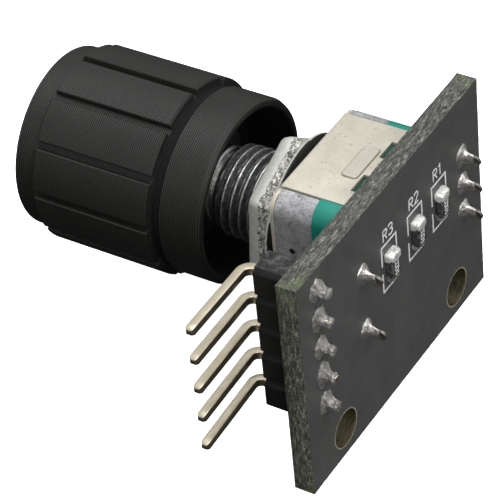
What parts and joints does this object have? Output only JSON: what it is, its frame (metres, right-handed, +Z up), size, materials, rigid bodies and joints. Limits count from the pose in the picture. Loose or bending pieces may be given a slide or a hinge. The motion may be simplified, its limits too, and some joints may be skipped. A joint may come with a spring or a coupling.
{
  "type": "rotary encoder module",
  "caption": "Rotary encoder with push switch on a small dark circuit board: black grooved metal knob, threaded bushing with nut, right-angle pin header and back-side resistors.",
  "frame": {"origin": "where the shaft's axis meets the back face of the circuit board", "axes": "+Y along the shaft from the board to the knob, +X along the board's long side away from the header, +Z up the board's short side"},
  "size_m": [0.0307, 0.0311, 0.0192],
  "materials": {
    "board": "satin black solder mask",
    "header_plastic": "matt moulded black",
    "header_pin": "nickel plated, champagne tint",
    "solder": "bright solder",
    "base_green": "moulded green",
    "die_cast": "die-cast zinc, mottled",
    "tin_plate": "satin tinned sheet",
    "nickel": "zinc plated",
    "shaft_steel": "machined steel",
    "spring_steel": "spring steel",
    "knob_black": "black anodised, turned",
    "insert_plastic": "matt black",
    "rotor_plastic": "natural nylon",
    "code_brass": "brass strip",
    "resistor_body": "glazed black"
  },
  "bodies": {
    "base": {"pcb": "board", "header_housing": "header_plastic", "header_pin_1": "header_pin", "header_solder_1": "solder", "header_pin_2": "header_pin", "header_solder_2": "solder", "header_pin_3": "header_pin", "header_solder_3": "solder", "header_pin_4": "header_pin", "header_solder_4": "solder", "header_pin_5": "header_pin", "header_solder_5": "solder", "encoder_solder_1": "solder", "encoder_solder_2": "solder", "encoder_solder_3": "solder", "switch_solder_1": "solder", "switch_solder_2": "solder", "resistor_1": "resistor_body", "resistor_2": "resistor_body", "resistor_3": "resistor_body", "resistor_solder_1": "solder", "resistor_solder_2": "solder", "resistor_solder_3": "solder", "resistor_solder_4": "solder", "resistor_solder_5": "solder", "resistor_solder_6": "solder", "encoder_base": "base_green", "encoder_housing": "die_cast", "clamp_bracket": "tin_plate", "washer": "nickel", "hex_nut": "nickel", "detent_spring": "spring_steel", "terminal_a": "nickel", "terminal_b": "nickel", "terminal_c": "nickel", "switch_terminal_d": "nickel", "switch_terminal_e": "nickel", "switch_dome": "spring_steel"},
    "rotor": {"rotor_wheel": "rotor_plastic", "code_ring": "code_brass"},
    "knob": {"shaft": "shaft_steel", "retaining_ring": "spring_steel", "knob_body": "knob_black", "knob_insert": "insert_plastic"},
    "plunger": {"switch_plunger": "insert_plastic"}
  },
  "joints": [
    {"name": "knob_turn", "type": "hinge", "parent": "base", "child": "rotor", "pos_m": [0, 0, 0], "axis": [0, 1, 0], "continuous": true, "deforming": ["detent_spring"]},
    {"name": "knob_push", "type": "slide", "parent": "rotor", "child": "knob", "axis": [0, -1, 0], "range_m": [0, 0.0005], "stiffness_N_per_m": 8000, "springref_m": -0.0003, "deforming": ["switch_dome"]},
    {"name": "plunger_travel", "type": "slide", "parent": "base", "child": "plunger", "axis": [0, -1, 0], "range_m": [0, 0.0005], "deforming": ["switch_dome"]}
  ],
  "couplings": [
    {"joint": "plunger_travel", "follows": "knob_push", "ratio": 1}
  ]
}
